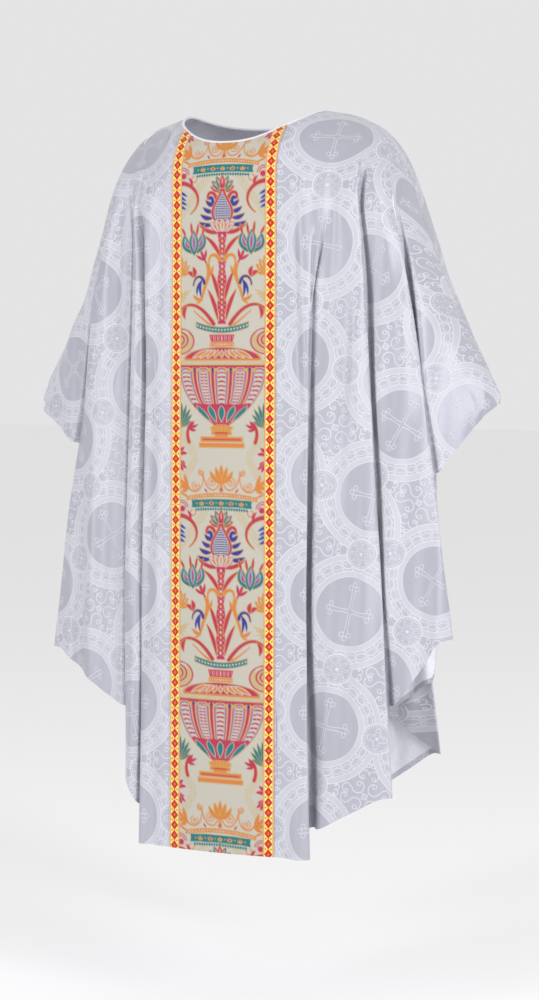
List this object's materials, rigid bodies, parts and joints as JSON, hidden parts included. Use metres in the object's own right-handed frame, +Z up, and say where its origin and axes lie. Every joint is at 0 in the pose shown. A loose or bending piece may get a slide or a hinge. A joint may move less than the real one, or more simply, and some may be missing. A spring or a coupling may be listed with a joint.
{
  "type": "chasuble",
  "caption": "Full gothic chasuble hanging as worn: damask brocade with a satin lining, a woven column orphrey between galloons front and back, round bound neck, open sides.",
  "frame": {"origin": "middle of the neck opening, level with the two points where neck and shoulder meet", "axes": "+Z up; -Y the wearer's front; +X the wearer's left"},
  "size_m": [0.8044, 0.337, 1.1734],
  "materials": {
    "brocade": "silver-white satin damask, figured in matt and sheen",
    "lining": "plain grey satin",
    "orphrey": "multicoloured figured tapestry on a cream ground",
    "galloon": "woven braid in gold, red and cream",
    "binding": "plain silver-white satin"
  },
  "bodies": {
    "vestment_centre": {"front_brocade": "brocade", "back_brocade": "brocade", "front_lining": "lining", "back_lining": "lining", "front_orphrey": "orphrey", "back_orphrey": "orphrey", "front_left_galloon": "galloon", "front_right_galloon": "galloon", "back_left_galloon": "galloon", "back_right_galloon": "galloon", "neck_binding": "binding"},
    "left_side": {"left_front_brocade": "brocade", "left_back_brocade": "brocade", "left_front_lining": "lining", "left_back_lining": "lining"},
    "right_side": {"right_front_brocade": "brocade", "right_back_brocade": "brocade", "right_front_lining": "lining", "right_back_lining": "lining"}
  },
  "joints": [
    {"name": "left_side_lift", "type": "hinge", "parent": "vestment_centre", "child": "left_side", "pos_m": [0.2, 0.03, -0.039], "axis": [0, -1, 0], "range_deg": [0, 30]},
    {"name": "right_side_lift", "type": "hinge", "parent": "vestment_centre", "child": "right_side", "pos_m": [-0.2, 0.03, -0.039], "axis": [0, 1, 0], "range_deg": [0, 30]}
  ]
}
